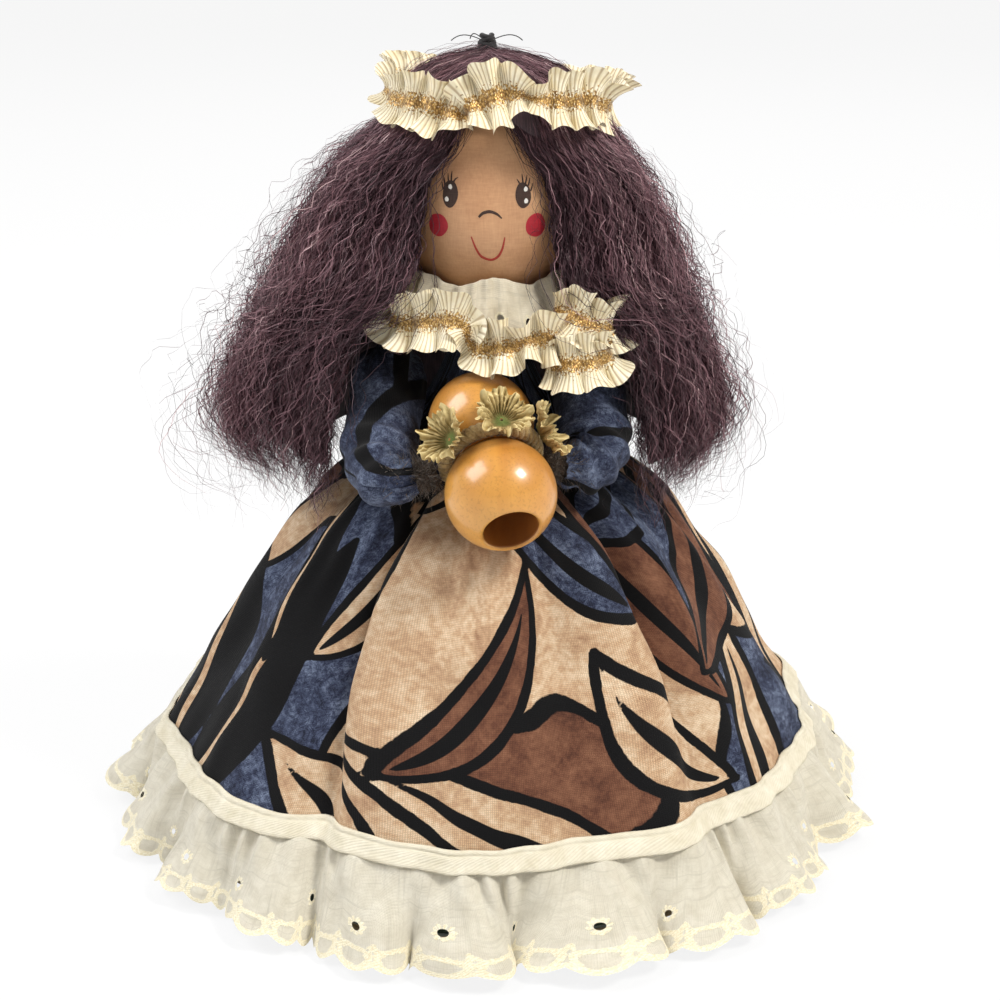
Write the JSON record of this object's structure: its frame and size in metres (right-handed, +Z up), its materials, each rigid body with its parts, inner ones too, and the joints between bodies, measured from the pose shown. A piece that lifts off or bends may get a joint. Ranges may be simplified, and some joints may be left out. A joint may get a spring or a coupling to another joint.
{
  "type": "hula girl doll",
  "caption": "Standing hula doll with a turned wooden head that turns, long hair, gathered print dress with lace hem, ribbon leis, and sleeved arms that lift a double gourd drum.",
  "frame": {"origin": "centre of the base on the surface that the doll stands on", "axes": "+Z up through the head, -Y the way the doll faces, -X to the doll's own right"},
  "size_m": [0.1948, 0.1944, 0.2],
  "materials": {
    "card": "plain grey-brown card",
    "foam": "dark green craft foam",
    "plain_wood": "bare turned wood",
    "flesh_paint": "tan flesh paint brushed on wood, satin",
    "print_cotton": "plain-weave cotton, leaf print in slate blue, tan, brown and black",
    "cream_cotton": "sheer cream cotton with eyelets, and twill tape",
    "ribbon": "cream ribbed ribbon ruched on a gold thread",
    "hair": "crimped dark purple-brown fibre",
    "thread": "black thread",
    "varnished_wood": "honey varnish, glossy",
    "straw": "khaki dried straw",
    "chenille": "brown chenille stem"
  },
  "bodies": {
    "torso": {"base_card": "card", "body_cone": "foam", "neck_dowel": "plain_wood", "dress": "print_cotton", "hem_tape": "cream_cotton", "hem_ruffle": "cream_cotton", "collar_ruffle": "cream_cotton", "neck_lei": "ribbon"},
    "head": {"head": "flesh_paint", "head_lei": "ribbon", "hair_crown": "hair", "hair_fall_right": "hair", "hair_fall_left": "hair", "hair_fall_back": "hair", "hair_tie": "thread"},
    "arms": {"sleeve_right": "print_cotton", "sleeve_left": "print_cotton", "arm_stem_right": "chenille", "arm_stem_left": "chenille", "ipu_upper_gourd": "varnished_wood", "ipu_lower_gourd": "varnished_wood", "ipu_peg": "plain_wood", "ipu_garland": "straw", "ipu_flower_right": "straw", "ipu_flower_centre": "straw", "ipu_flower_left": "straw"}
  },
  "joints": [
    {"name": "head_turn", "type": "hinge", "parent": "torso", "child": "head", "pos_m": [0, 0, 0.135], "axis": [0, 0, 1], "range_deg": [-30, 30], "deforming": ["hair_fall_right", "hair_fall_left", "hair_fall_back"]},
    {"name": "arms_lift", "type": "hinge", "parent": "torso", "child": "arms", "pos_m": [0, -0.006, 0.117], "axis": [-1, 0, 0], "range_deg": [0, 20], "deforming": ["neck_lei", "collar_ruffle"]}
  ]
}
